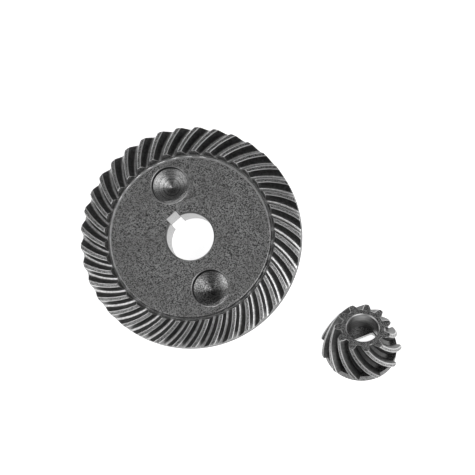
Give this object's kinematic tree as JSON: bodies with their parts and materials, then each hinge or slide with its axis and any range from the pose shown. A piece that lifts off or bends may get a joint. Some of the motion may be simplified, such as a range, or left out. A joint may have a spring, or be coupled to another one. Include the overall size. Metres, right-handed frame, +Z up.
{
  "type": "bevel gear pair",
  "caption": "Right-angle spiral bevel gear pair: a crown wheel with keyed bore and lock pockets, and its pinion with a half-moon drive web, each with a thrust washer.",
  "frame": {"origin": "on the crown wheel's axis, in the plane of the underside of its thrust washer", "axes": "+Z up along the crown wheel's axis, teeth facing +Z; the wheel's lock pockets lie at 112 and 292 degrees and the keyway at 132 degrees from +X; at rest the pinion lies on the plane z = 0 beside the wheel, as in the picture"},
  "size_m": [0.0815, 0.0651, 0.0171],
  "materials": {
    "wheel_steel": "blasted, hardened grey steel with machined tooth faces",
    "pinion_steel": "hardened dark steel with machined tooth faces",
    "washer_steel": "ground steel"
  },
  "bodies": {
    "wheel_seat": {"wheel_thrust_washer": "washer_steel"},
    "wheel": {"crown_wheel": "wheel_steel"},
    "pinion_seat": {"pinion_thrust_washer": "washer_steel"},
    "pinion_gear": {"pinion": "pinion_steel"}
  },
  "joints": [
    {"name": "wheel_spin", "type": "hinge", "parent": "wheel_seat", "child": "wheel", "pos_m": [0, 0, 0], "axis": [0, 0, 1], "continuous": true},
    {"name": "pinion_swing", "type": "hinge", "parent": "wheel_seat", "child": "pinion_seat", "pos_m": [0.02808, -0.00848, 0.01075], "axis": [-0.3762, -0.3789, 0.8455], "range_deg": [0, 151.48]},
    {"name": "pinion_spin", "type": "hinge", "parent": "pinion_seat", "child": "pinion_gear", "pos_m": [0.04467, -0.02409, 0.01368], "axis": [0.1693, 0.4352, 0.8843], "continuous": true}
  ],
  "couplings": [
    {"joint": "pinion_spin", "follows": "wheel_spin", "ratio": -3.3636}
  ]
}
